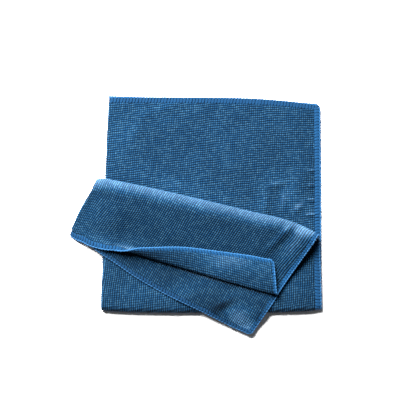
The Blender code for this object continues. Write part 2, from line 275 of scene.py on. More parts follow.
@dataclass
class SoftNoise:
    """Smooth random values over a plane, the same on each run.

    Args:
        grain: distance between two free values.
        seed: which of the endless patterns it is.
    """

    grain: float
    seed: int
    lattice: int = 64
    values: Array = field(init=False)

    def __post_init__(self) -> None:
        """Draw the free values."""
        rng = np.random.default_rng(self.seed)
        self.values = rng.uniform(-1.0, 1.0, (self.lattice, self.lattice))

    def __call__(self, x: Array, y: Array) -> Array:
        """Values from -1 to 1 at x and y."""
        gx, gy = x / self.grain, y / self.grain
        ix, iy = np.floor(gx).astype(int), np.floor(gy).astype(int)
        tx, ty = gx - ix, gy - iy
        tx, ty = tx * tx * (3.0 - 2.0 * tx), ty * ty * (3.0 - 2.0 * ty)
        n = self.lattice
        a, b = self.values[ix % n, iy % n], self.values[(ix + 1) % n, iy % n]
        c, d = self.values[ix % n, (iy + 1) % n], self.values[(ix + 1) % n, (iy + 1) % n]
        return (a + (b - a) * tx) * (1.0 - ty) + (c + (d - c) * tx) * ty


@dataclass
class FoldedSheet:
    """The cloth's middle surface, and places at a height over it."""

    step: float = 0.0015
    feeler: float = 0.2                 # share of a step over which a slope is felt
    ripple: float = 0.00028
    narrow_share: float = 0.45
    broad: SoftNoise = field(default_factory=lambda: SoftNoise(0.021, 11))
    narrow: SoftNoise = field(default_factory=lambda: SoftNoise(0.009, 12))

    def reach_of(self, across: Array, upper: str, lower: str) -> Array:
        """Reach of the upper sheet (across > 0) or of the lower one."""
        away = np.abs(across)
        return np.where(across > 0.0, smooth_table(away, REACHES, upper),
                        smooth_table(away, REACHES, lower))

    def round_corners(self, across: Array, along: Array) -> tuple[Array, Array]:
        """Draw the square's four corners in to the hems' curve."""
        flat = np.stack((across, along))
        past = np.maximum(np.abs(flat) * HALF_SIZE - (HALF_SIZE - CORNER_RADIUS), 0.0)
        pull = past.max(axis=0) / np.maximum(np.hypot(*past), 1e-9)
        pull = np.where(past.min(axis=0) > 0.0, pull, 1.0)
        return tuple(np.sign(flat) * (np.abs(flat) - past * (1.0 - pull) / HALF_SIZE))

    def lay_flat(self, across: Array, along: Array) -> tuple[Array, Array]:
        """Distances from the two quarter folds on the flat cloth."""
        draw_in = np.where(along > 0.0, BACK_DRAW_IN, TURNED_DRAW_IN)
        u = across * (HALF_WIDTH - draw_in * along ** 2)
        reach = np.where(along > 0.0, self.reach_of(across, "back_upper", "back_lower"),
                         self.reach_of(across, "turned_upper", "turned_lower"))
        return u, along * reach

    def fold_left(self, u: Array) -> tuple[Array, Array]:
        """Fold the right half under the left one: distance from the fold, and side."""
        radius = PITCH / 2.0
        quarter = radius * math.pi / 2.0
        angle = np.clip(u / radius, -math.pi / 2.0, math.pi / 2.0)
        away = radius * (1.0 - np.cos(angle)) + np.maximum(np.abs(u) - quarter, 0.0)
        return away, radius * np.sin(angle)

    def place_left_fold(self, across: Array, along: Array, v: Array) -> Array:
        """Where the left fold stands at each row."""
        back = BACK_LEAN * v + BACK_LEAN_GROWTH * v ** 2
        shift = smooth_table(-along, LEFT_SHIFTS, "shift")
        return LEFT_EDGE + np.where(v > 0.0, back, shift * (1.0 - np.abs(across)) ** 3)

    def fold_front(self, v: Array, side: Array) -> tuple[Array, Array]:
        """Fold the pair over its front edge: distance back, and height."""
        radius = PITCH
        quarter = radius * math.pi / 2.0
        angle = np.clip(-v / radius, -math.pi / 2.0, math.pi / 2.0)
        back = (radius * (1.0 - np.cos(angle)) + side * np.cos(angle)
                + np.maximum(np.abs(v) - quarter, 0.0))
        middle = THICKNESS / 2.0 + PITCH / 2.0 + radius
        return back, middle + (radius - side) * np.sin(angle)

    def teardrop(self, past: Array, radius: Array, crown: Array,
                 descent: Array) -> tuple[Array, ...]:
        """A loop that turns over and settles on itself.

        Args:
            past: lengths beyond the loop's start.
            radius: radius up to its outermost point.
            crown: radius from there over its top.
            descent: angle at which it comes down, in radians.

        Returns:
            The forward distance, the height and the slope.
        """
        half = math.pi / 2.0
        turn = math.pi + descent
        crown_start = half * radius
        round_end = crown_start + (half + descent) * crown
        top = radius + crown * np.cos(descent)
        landing = CREASE_LANDING * (1.0 - np.cos(descent))
        slide = np.maximum((top - 2.0 * PITCH - landing) / np.sin(descent), 0.0)
        slide_end = round_end + slide
        settle_end = slide_end + descent * CREASE_LANDING
        rising = np.minimum(past, crown_start) / radius
        over = half + np.clip(past - crown_start, 0.0, round_end - crown_start) / crown
        on_slide = np.clip(past - round_end, 0.0, slide)
        settled = np.clip(past - slide_end, 0.0, settle_end - slide_end) / CREASE_LANDING
        flat = np.maximum(past - settle_end, 0.0)
        forward = (radius * np.sin(rising) + crown * (np.sin(over) - 1.0)
                   - on_slide * np.cos(descent)
                   - CREASE_LANDING * (np.sin(descent) - np.sin(descent - settled)) - flat)
        height = (radius * (1.0 - np.cos(rising)) - crown * np.cos(over)
                  - on_slide * np.sin(descent)
                  - CREASE_LANDING * (np.cos(descent - settled) - np.cos(descent)))
        slope = np.where(past < crown_start, rising, over)
        slope = np.where(past < round_end, slope, turn - settled)
        return forward, height, slope

    def fold_crease(self, x: Array, y: Array, z: Array, side: Array,
                    upper: Array) -> tuple[Array, ...]:
        """Turn the upper pair forwards over the slanting crease.

        Args:
            x: places before the turn; so are y and z.
            side: height over the middle of the pair of layers.
            upper: which places belong to the upper pair.

        Returns:
            The places, which of them are turned, and how far over they are, from 0 to 1.
        """
        ax, ay = math.cos(CREASE_ANGLE), -math.sin(CREASE_ANGLE)
        bx, by = math.sin(CREASE_ANGLE), math.cos(CREASE_ANGLE)
        rx, ry = x - CREASE_POINT[0], y - CREASE_POINT[1]
        place = rx * ax + ry * ay
        depth = rx * bx + ry * by
        start, radius, crown, descent = (smooth_table(place, CREASE_LOOPS, name)
                                         for name in Loop._fields[1:])
        past = np.maximum(depth - start, 0.0)
        turned = upper & (past > 0.0)
        forward, height, slope = self.teardrop(past, radius, crown, np.radians(descent))
        shift = start + forward + side * np.sin(slope)
        level = THICKNESS / 2.0 + 2.5 * PITCH
        x = np.where(turned, CREASE_POINT[0] + place * ax + shift * bx, x)
        y = np.where(turned, CREASE_POINT[1] + place * ay + shift * by, y)
        z = np.where(turned, level + height - side * np.cos(slope), z)
        return x, y, z, turned, ease(past, 0.0, 0.5 * math.pi * radius)

    def fold_flap(self, x: Array, y: Array, z: Array, loose: Array) -> tuple[Array, ...]:
        """Turn the near corner of the top layer back as a flap."""
        ax, ay = math.cos(FLAP_ANGLE), -math.sin(FLAP_ANGLE)
        bx, by = -math.sin(FLAP_ANGLE), -math.cos(FLAP_ANGLE)
        rx, ry = x - FLAP_POINT[0], y - FLAP_POINT[1]
        place = rx * ax + ry * ay
        depth = rx * bx + ry * by
        start, curvature, descent = (smooth_table(place, FLAP_CURLS, name)
                                     for name in Curl._fields[1:])
        curvature, descent = np.maximum(curvature, LEAST_CURVATURE), np.radians(descent)
        past = depth - start
        tip = np.minimum(np.maximum(past, 0.0) * curvature, FLAP_TIP_TURN)
        beyond = np.maximum(past - FLAP_TIP_TURN / curvature, 0.0)
        arch = math.pi + descent - FLAP_TIP_TURN
        back = FLAP_TIP_TURN + np.minimum(beyond / FLAP_CROWN, arch)
        rest = np.maximum(beyond - arch * FLAP_CROWN, 0.0)
        shift = (start + np.sin(tip) / curvature - rest * np.cos(descent)
                 + FLAP_CROWN * (np.sin(back) - math.sin(FLAP_TIP_TURN)))
        rise = ((1.0 - np.cos(tip)) / curvature - rest * np.sin(descent)
                + FLAP_CROWN * (math.cos(FLAP_TIP_TURN) - np.cos(back)))
        lifted = loose & (past > 0.0)
        x = np.where(lifted, FLAP_POINT[0] + place * ax + shift * bx, x)
        y = np.where(lifted, FLAP_POINT[1] + place * ay + shift * by, y)
        return x, y, np.where(lifted, z + rise, z)

    def rise_of(self, x: Array, y: Array, mounds: Sequence[Mound]) -> Array:
        """Height that a table of mounds adds at each place."""
        total = np.zeros_like(x)
        for mound in mounds:
            turn = math.radians(mound.turn)
            rx, ry = x - mound.x, y - mound.y
            along = (rx * math.cos(turn) + ry * math.sin(turn)) / mound.length
            across = (ry * math.cos(turn) - rx * math.sin(turn)) / mound.width
            total = total + mound.height * np.exp(-along ** 2 - across ** 2)
        return total

    def settle(self, x: Array, y: Array, z: Array, turned: Array,
               over: Array) -> tuple[Array, ...]:
        """Loosen the layers, droop what overhangs and bow the front fold."""
        level = z - THICKNESS / 2.0
        over_base = np.clip(level / PITCH, 0.0, 1.0)
        z = z + self.rise_of(x, y, BASE_MOUNDS) * over_base
        z = z + self.rise_of(x, y, STACK_MOUNDS) * np.clip(level / (3.0 * PITCH), 0.0, 1.0)
        z = z + np.where(turned, self.rise_of(x, y, TURNED_MOUNDS) * over, 0.0)
        z = z + np.where(turned, self.rise_of(x, y, TURNED_WRINKLES) * over,
                         self.rise_of(x, y, BASE_WRINKLES) * over_base)
        left = np.maximum(LEFT_EDGE - LEFT_DROOP_START - x, 0.0) / LEFT_DROOP_SPAN
        front = ease(FRONT_EDGE - FRONT_DROOP_START - y, 0.0, FRONT_DROOP_SPAN)
        droop = LEFT_DROOP * left ** LEFT_DROOP_POWER + FRONT_DROOP * front
        z = np.where(turned, z - droop, z)
        bow = np.clip(1.0 - ((x - FRONT_BOW_MIDDLE) / FRONT_BOW_HALF) ** 4, 0.0, 1.0)
        y = y - FRONT_BOW * bow * (1.0 - ease(y, FRONT_EDGE, FRONT_EDGE + FRONT_BOW_DEPTH))
        uneven = self.broad(x, y) + self.narrow_share * self.narrow(x, y)
        return x, y, z + self.ripple * uneven * over_base

    def middle(self, across: Array, along: Array) -> Array:
        """Places of the folded sheet's middle surface, one row for each point."""
        across, along = self.round_corners(across, along)
        u, v = self.lay_flat(across, along)
        away, side = self.fold_left(u)
        x = self.place_left_fold(across, along, v) + away
        back, z = self.fold_front(v, side)
        y = FRONT_EDGE + back
        upper = v < -PITCH * math.pi / 2.0
        x, y, z, turned, over = self.fold_crease(x, y, z, side, upper)
        x, y, z = self.fold_flap(x, y, z, turned & (over >= 1.0) & (u > 0.0))
        x, y, z = self.settle(x, y, z, turned, over)
        return np.stack((x - PLAN_ORIGIN[0], y - PLAN_ORIGIN[1], z), axis=-1)

    def normals(self, across: Array, along: Array) -> Array:
        """Directions that point out of the cloth's outer face."""
        a = self.step / HALF_WIDTH * self.feeler
        b = self.step / MEAN_REACH * self.feeler
        wide = self.middle(across + a, along) - self.middle(across - a, along)
        deep = self.middle(across, along + b) - self.middle(across, along - b)
        normal = np.cross(wide, deep)
        return normal / np.maximum(np.linalg.norm(normal, axis=-1, keepdims=True), 1e-12)

    def place(self, across: Array, along: Array, height: Array) -> Array:
        """Places at a height over the middle surface, positive on the outer face."""
        places = self.middle(across, along) + self.normals(across, along) * height[:, None]
        places[:, 2] = np.maximum(places[:, 2], FLOOR_CLEARANCE)
        return places


@dataclass(frozen=True)
class Grain:
    """How the knit lies in the square: its stitches, slightly out of square."""

    wale: float = 0.00204
    course: float = 0.00219
    wale_lean: float = 0.055
    course_lean: float = 0.130

    def stitches(self, across: Array, along: Array) -> tuple[Array, Array]:
        """Places in stitches, for fractions of the cloth."""
        a, b = across * HALF_WIDTH, along * MEAN_REACH
        return (a - self.wale_lean * b) / self.wale, (b - self.course_lean * a) / self.course

    def fractions(self, s: Array, t: Array) -> tuple[Array, Array]:
        """Fractions of the cloth, for places in stitches."""
        s, t = s * self.wale, t * self.course
        share = 1.0 - self.wale_lean * self.course_lean
        return ((s + self.wale_lean * t) / share / HALF_WIDTH,
                (t + self.course_lean * s) / share / MEAN_REACH)


def grid(x_segments: int, y_segments: int) -> BMesh:
    """A flat grid from -1 to 1 with that many segments each way."""
    bm = bmesh.new()
    bmesh.ops.create_grid(bm, x_segments=x_segments, y_segments=y_segments, size=1.0)
    return bm


def to_mesh(bm: BMesh, name: str) -> Mesh:
    """Make a mesh of a finished bmesh and free it."""
    mesh = bpy.data.meshes.new(name)
    bm.to_mesh(mesh)
    bm.free()
    return mesh


def read_places(mesh: Mesh) -> Array:
    """The vertices' places, one row each."""
    flat = np.empty(len(mesh.vertices) * 3)
    mesh.vertices.foreach_get("co", flat)
    return flat.reshape(-1, 3)


def write_places(mesh: Mesh, places: Array) -> None:
    """Move the vertices to new places."""
    mesh.vertices.foreach_set("co", places.ravel())
    mesh.update()


def corners_of(mesh: Mesh) -> Array:
    """The vertex of each face corner."""
    index = np.empty(len(mesh.loops), dtype=np.int64)
    mesh.loops.foreach_get("vertex_index", index)
    return index


def write_corners(mesh: Mesh, name: str, values: Array) -> None:
    """Fill a UV map with one row for each face corner."""
    layer = mesh.uv_layers.new(name=name)
    layer.uv.foreach_set("vector", np.ascontiguousarray(values, dtype=np.float32).ravel())


def write_map(mesh: Mesh, name: str, u: Array, v: Array) -> None:
    """Fill a UV map from two values for each vertex."""
    write_corners(mesh, name, np.stack((u, v), axis=-1)[corners_of(mesh)])


def link(mesh: Mesh, finish: Material) -> Object:
    """Put a mesh in the scene as a smooth object with one finish."""
    mesh.shade_smooth()
    mesh.materials.append(finish)
    piece = bpy.data.objects.new(mesh.name, mesh)
    bpy.context.collection.objects.link(piece)
    return piece


class Side(Enum):
    """The cloth's two faces."""

    OUTER = 1.0
    INNER = -1.0


class NodeWriter:
    """Adds nodes to a material or world and links them, left to right."""

    def __init__(self, owner: Material | World) -> None:
        """Start with an empty tree."""
        owner.use_nodes = True
        self.owner = owner
        self.tree = owner.node_tree
        self.tree.nodes.clear()

    def node(self, kind: str, inputs: dict | None = None, **settings: object) -> Node:
        """Add a node.

        Args:
            kind: its type.
            inputs: values or sockets for its inputs, by name or index.
            settings: its own properties.

        Returns:
            The node.
        """
        made = self.tree.nodes.new(kind)
        for key, value in settings.items():
            setattr(made, key, value)
        for key, value in (inputs or {}).items():
            if isinstance(value, NodeSocket):
                self.tree.links.new(value, made.inputs[key])
            else:
                made.inputs[key].default_value = value
        return made

    def math(self, operation: str, *values: object) -> NodeSocket:
        """One sum of up to three numbers."""
        inputs = dict(enumerate(values))
        return self.node("ShaderNodeMath", inputs, operation=operation).outputs[0]

    def span(self, value: object, low: float, high: float, to_low: float,
             to_high: float, kind: str = "LINEAR") -> NodeSocket:
        """Carry a number from one range to another, held inside it."""
        inputs = dict(enumerate((value, low, high, to_low, to_high)))
        return self.node("ShaderNodeMapRange", inputs, interpolation_type=kind).outputs[0]

    def mix(self, share: object, a: Colour, b: Colour | NodeSocket) -> NodeSocket:
        """Mix two colours."""
        inputs = {0: share, 6: a, 7: b}
        return self.node("ShaderNodeMix", inputs, data_type="RGBA").outputs[2]

    def noise(self, cells: NodeSocket, scale: float, detail: float,
              roughness: float = 0.5) -> NodeSocket:
        """Soft noise over a map's cells, from 0 to 1."""
        inputs = {"Vector": cells, "Scale": scale, "Detail": detail, "Roughness": roughness}
        return self.node("ShaderNodeTexNoise", inputs, noise_dimensions="2D").outputs[0]

    def scaled(self, colour: NodeSocket, share: NodeSocket) -> NodeSocket:
        """A colour times a number."""
        return self.node("ShaderNodeVectorMath", {0: colour, 3: share},
                         operation="SCALE").outputs[0]

    def toned(self, colour: NodeSocket) -> NodeSocket:
        """A colour darkened as painted shade, or lightened as painted highlight with painted
        sheen, by the piece's painted-light map.
        """
        painted_light = self.node("ShaderNodeUVMap", uv_map="painted_light").outputs[0]
        painted_light = self.node("ShaderNodeSeparateXYZ", {0: painted_light}).outputs[0]
        over = self.math("MAXIMUM", self.math("SUBTRACT", painted_light, PAINTED_SHEEN_FROM), 0.0)
        inputs = {0: over, 1: PAINTED_SHEEN, 2: self.scaled(colour, painted_light)}
        return self.node("ShaderNodeVectorMath", inputs, operation="MULTIPLY_ADD").outputs[0]

    def finish(self, shader: Node, output: str = "ShaderNodeOutputMaterial") -> Material | World:
        """Link the shader to the output."""
        self.node(output, {0: shader.outputs[0]})
        return self.owner


def direction(azimuth: float, elevation: float) -> Vector:
    """The way to something seen at two angles in degrees, the azimuth from +X."""
    a, e = math.radians(azimuth), math.radians(elevation)
    return Vector((math.cos(a) * math.cos(e), math.sin(a) * math.cos(e), math.sin(e)))


def opaque(colour: Colour) -> tuple[float, float, float, float]:
    """A colour with full cover."""
    return (*colour, 1.0)


@dataclass(frozen=True)
class YarnFinish:
    """What knit and threads share: matt fibres with a faint pale sheen."""

    name: str
    roughness: float = 0.95
    sheen: float = 0.010
    sheen_roughness: float = 0.45
    sheen_tint: Colour = (0.55, 0.78, 1.0)
    gloss: float = 0.05
    bump: float = 0.35
    bump_depth: float = 0.0002

    def dress(self, w: NodeWriter, colour: NodeSocket, height: NodeSocket) -> Material:
        """Finish a material.

        Args:
            w: writes its nodes.
            colour: the yarn's colour.
            height: the fibres' relief, from 0 to 1.

        Returns:
            The material.
        """
        bump = w.node("ShaderNodeBump", {"Strength": self.bump, "Distance": self.bump_depth,
                                         "Height": height})
        return w.finish(w.node("ShaderNodeBsdfPrincipled", {
            "Base Color": colour, "Roughness": self.roughness, "Normal": bump.outputs[0],
            "Sheen Weight": self.sheen, "Sheen Roughness": self.sheen_roughness,
            "Sheen Tint": opaque(self.sheen_tint), "Specular IOR Level": self.gloss}))


@dataclass(frozen=True)
class KnitFinish(YarnFinish):
    """Dry looped microfibre: its own colour on the loops, painted shade in the furrows between
    them and painted glints on some loops.
    """

    # The furrow colour is painted shade between the loops; the glint colour is a painted
    # highlight.
    furrow_shade: Colour = (0.0001, 0.0008, 0.0032)
    loop: Colour = (0.0056, 0.0340, 0.0800)
    painted_glint: Colour = (0.037, 0.108, 0.180)
    painted_glint_share: float = 0.80
    crest: float = 0.20
    foot: float = 0.80
    wale_share: float = 0.90
    course_share: float = 0.90
    patch_scale: float = 0.09
    fibre_scale: float = 3.1
    has_painted_light: bool = True

    def make(self) -> Material:
        """Build the finish's nodes.

        Returns:
            The material.
        """
        w = NodeWriter(bpy.data.materials.new(self.name))
        cells = w.node("ShaderNodeUVMap", uv_map="weave").outputs[0]
        split = w.node("ShaderNodeSeparateXYZ", {0: cells})
        # Painted shade: the loops' colour darkens towards the furrows between wales and between
        # courses.
        ridges = []
        for axis, share in enumerate((self.wale_share, self.course_share)):
            part = w.math("FRACT", split.outputs[axis])
            away = w.math("ABSOLUTE", w.math("MULTIPLY_ADD", part, 2.0, -1.0))
            ridges.append(w.span(away, self.crest, self.foot, 1.0, 1.0 - share, "SMOOTHSTEP"))
        painted_furrow_shade = w.math("SUBTRACT", 1.0, w.math("MULTIPLY", *ridges))
        whole = w.node("ShaderNodeVectorMath", {0: cells}, operation="FLOOR").outputs[0]
        chance = w.node("ShaderNodeTexWhiteNoise", {0: whole}, noise_dimensions="2D")
        patches = w.noise(cells, self.patch_scale, 3.0, 0.55)
        fibres = w.noise(cells, self.fibre_scale, 2.0, 0.6)
        # Painted glints: some loops get a lighter colour as a highlight.
        lit = w.math("MULTIPLY", w.span(chance.outputs[0], 0.30, 1.0, 0.0, 1.0),
                     w.span(fibres, 0.35, 0.72, 0.0, 1.0))
        lit = w.math("MULTIPLY", lit, self.painted_glint_share)
        top = w.mix(lit, opaque(self.loop), opaque(self.painted_glint))
        shade = w.math("MULTIPLY", painted_furrow_shade, w.span(fibres, 0.25, 0.75, 1.0, 0.82))
        colour = w.mix(shade, top, opaque(self.furrow_shade))
        # Painted shade and painted highlight from the piece's painted-light map.
        if self.has_painted_light:
            colour = w.toned(colour)
        colour = w.scaled(colour, w.span(patches, 0.28, 0.72, 0.90, 1.09))
        return self.dress(w, colour, fibres)


@dataclass(frozen=True)
class ThreadFinish(YarnFinish):
    """Bulked polyester hem thread, a clearer blue than the knit."""

    roughness: float = 0.85
    sheen: float = 0.012
    sheen_roughness: float = 0.4
    sheen_tint: Colour = (0.6, 0.82, 1.0)
    gloss: float = 0.08
    bump: float = 0.5
    bump_depth: float = 0.0001
    shade: Colour = (0.0010, 0.0150, 0.048)
    light: Colour = (0.0050, 0.0430, 0.110)
    plies_along: float = 5.0
    plies_round: float = 2.0
    fibre_scale: float = 2.3

    def make(self) -> Material:
        """Build the finish's nodes.

        Returns:
            The material.
        """
        w = NodeWriter(bpy.data.materials.new(self.name))
        lay = w.node("ShaderNodeUVMap", uv_map="twist").outputs[0]
        split = w.node("ShaderNodeSeparateXYZ", {0: lay})
        slant = w.math("ADD", w.math("MULTIPLY", split.outputs[0], self.plies_along),
                       w.math("MULTIPLY", split.outputs[1], self.plies_round))
        ply = w.math("SINE", w.math("MULTIPLY", slant, 2.0 * math.pi))
        ply = w.span(ply, -1.0, 1.0, 0.0, 1.0)
        fibres = w.noise(lay, self.fibre_scale, 2.0)
        share = w.math("MULTIPLY", w.span(ply, 0.0, 1.0, 0.55, 1.0),
                       w.span(fibres, 0.25, 0.75, 0.72, 1.0))
        colour = w.toned(w.mix(share, opaque(self.shade), opaque(self.light)))
        return self.dress(w, colour, ply)


@dataclass(frozen=True)
class FloorFinish:
    """Matt white studio floor."""

    name: str = "floor_white"
    colour: Colour = (0.93, 0.93, 0.93)

    def make(self) -> Material:
        """Build the finish's nodes."""
        w = NodeWriter(bpy.data.materials.new(self.name))
        return w.finish(w.node("ShaderNodeBsdfDiffuse", {0: opaque(self.colour)}))


class Crowd(NamedTuple):
    """Where the core's rows stand closer: their middle, half width and extra weight."""

    centre: float
    spread: float
    extra: float


@dataclass
class Core:
    """The plain ground of the sheet, one closed mesh under the loops and the threads."""

    sheet: FoldedSheet
    finish: Material
    half: float = 0.00050
    hem_half: float = 0.00042
    hem_width: float = 0.0060
    columns: int = 190
    rows: int = 230
    crowds_across: tuple[Crowd, ...] = (Crowd(0.0, 0.020, 9.0),)
    crowds_along: tuple[Crowd, ...] = (Crowd(0.0, 0.025, 5.0), Crowd(-0.62, 0.22, 0.9))
    grain: Grain = Grain()

    def fractions(self, share: Array, crowds: Sequence[Crowd]) -> Array:
        """Spread even shares from -1 to 1 so that they crowd at the folds.

        Args:
            share: even places.
            crowds: where they stand closer.

        Returns:
            The crowded places.
        """
        fine = np.linspace(-1.0, 1.0, 4001)
        weight = np.ones_like(fine)
        for crowd in crowds:
            weight = weight + crowd.extra * np.exp(-((fine - crowd.centre) / crowd.spread) ** 2)
        run = np.concatenate(([0.0], np.cumsum((weight[1:] + weight[:-1]) / 2.0)))
        return np.interp((share + 1.0) / 2.0, run / run[-1], fine)

    def build(self) -> Object:
        """Make the closed sheet.

        Returns:
            The object.
        """
        bm = grid(self.columns, self.rows)
        raised = bmesh.ops.extrude_face_region(bm, geom=list(bm.faces))
        top = [v for v in raised["geom"] if isinstance(v, bmesh.types.BMVert)]
        bmesh.ops.translate(bm, verts=top, vec=(0.0, 0.0, 1.0))
        mesh = to_mesh(bm, "cloth_core")
        flat = read_places(mesh)
        across = self.fractions(flat[:, 0], self.crowds_across)
        along = self.fractions(flat[:, 1], self.crowds_along)
        outer = flat[:, 2] > 0.5
        inset = ((1.0 - np.abs((across, along))) * HALF_SIZE).min(axis=0)
        half = self.hem_half + (self.half - self.hem_half) * ease(
            inset, self.hem_width * 0.6, self.hem_width)
        write_map(mesh, "weave", *self.grain.stitches(across, along))
        # The outer face bakes into the left half of the picture, the inner into the right.
        write_map(mesh, "OFBake", (across + 1.0) * 0.24 + np.where(outer, 0.01, 0.51),
                  (along + 1.0) * 0.49 + 0.01)
        write_places(mesh, self.sheet.place(across, along, np.where(outer, half, -half)))
        bm = bmesh.new()
        bm.from_mesh(mesh)
        bmesh.ops.recalc_face_normals(bm, faces=bm.faces)
        bm.to_mesh(mesh)
        bm.free()
        return link(mesh, self.finish)


@dataclass
class Daylight:
    """Finds which places of the folded cloth can be seen from above or from a side."""

    core: Object
    reach: float = 0.5
    lift: float = 0.0004
    grazing: float = 0.08
    rounds: tuple[tuple[float, int], ...] = ((62.0, 6), (35.0, 8), (12.0, 8))
    tree: BVHTree = field(init=False)

    def __post_init__(self) -> None:
        """Index the sheet's core."""
        bm = bmesh.new()
        bm.from_mesh(self.core.data)
        self.tree = BVHTree.FromBMesh(bm)
        bm.free()

    def looks(self) -> list[Vector]:
        """Directions to look from: straight above, and at each round's elevation."""
        return [Vector((0.0, 0.0, 1.0))] + [direction(360.0 * (k + 0.5) / count, elevation)
                                            for elevation, count in self.rounds
                                            for k in range(count)]

    def sees(self, places: Array, normals: Array) -> Array:
        """Which of the places some look reaches.

        Args:
            places: the places.
            normals: the surface's directions there.

        Returns:
            True where one does.
        """
        looks = self.looks()
        seen = np.zeros(len(places), dtype=bool)
        for i, (place, normal) in enumerate(zip(places, normals)):
            out = Vector(normal)
            start = Vector(place) + out * self.lift
            seen[i] = any(look.dot(out) >= self.grazing
                          and self.tree.ray_cast(start, look, self.reach)[0] is None
                          for look in looks)
        return seen


class Lay(NamedTuple):
    """One panel of loops: its face, its part of the cloth and how it is stretched.

    The cuts say how deep the furrows are between wales and between courses, and how dark
    their painted shade is. A pull across the wales opens their furrows and closes those of
    the courses. The painted light is painted shade or painted highlight over the whole
    panel, and the hems say how far in the threads reach from the sides and from the ends.
    """

    name: str
    side: Side
    first: tuple[float, float]
    last: tuple[float, float]
    wale_cut: float
    course_cut: float
    painted_light: float
    hems: tuple[float, float]


# Patches of painted light (positive) and painted shade (negative) on each panel; the heights are
# gains.
PAINTED_PATCHES = {
    "knit_back": (
        Mound(0.096, 0.008, 0.016, 0.013, 0.0, 0.38),
        Mound(-0.010, 0.024, 0.060, 0.010, -14.5, 0.30),
        Mound(-0.078, 0.085, 0.014, 0.026, 0.0, 0.10),
    ),
    "knit_low_front": (
        Mound(0.100, -0.065, 0.012, 0.020, 0.0, -0.08),
    ),
    "knit_turned": (
        Mound(0.096, -0.028, 0.028, 0.009, 50.0, 0.70),
        Mound(-0.102, -0.004, 0.020, 0.009, 60.0, 0.32),
    ),
    "knit_under": (
        Mound(0.042, -0.101, 0.016, 0.011, -32.0, 1.95),
        Mound(0.025, -0.087, 0.013, 0.006, 20.0, -0.90),
        Mound(-0.040, -0.052, 0.045, 0.008, -16.0, -0.12),
        Mound(0.011, -0.0605, 0.075, 0.0024, -16.2, 1.80),
    ),
    "knit_flap": (
        Mound(0.026, -0.049, 0.020, 0.009, -8.0, 0.34),
        Mound(-0.050, -0.040, 0.030, 0.012, -12.0, -0.50),
        Mound(0.011, -0.0600, 0.075, 0.0024, -16.2, 1.80),
    ),
}
# Each panel's painted-light number is a painted shade (below 1) or painted highlight (above 1)
# over the whole panel.
PANELS = (
    Lay("knit_back", Side.OUTER, (-0.03, 0.02), (1.0, 1.0), 0.74, 0.95, 1.03,
        (0.0052, 0.0052)),
    Lay("knit_low_front", Side.OUTER, (-1.0, -0.60), (0.03, 0.06), 0.92, 0.62, 0.93,
        (0.0052, 0.0052)),
    Lay("knit_turned", Side.OUTER, (-0.03, -1.0), (1.0, -0.28), 0.95, 0.60, 1.0,
        (0.0027, 0.0052)),
    Lay("knit_under", Side.INNER, (-1.0, -1.0), (0.0, -0.3), 0.90, 0.65, 0.78,
        (0.0030, 0.0030)),
    Lay("knit_flap", Side.INNER, (0.0, -1.0), (1.0, -0.3), 0.80, 0.75, 1.15,
        (0.0022, 0.0030)),
)


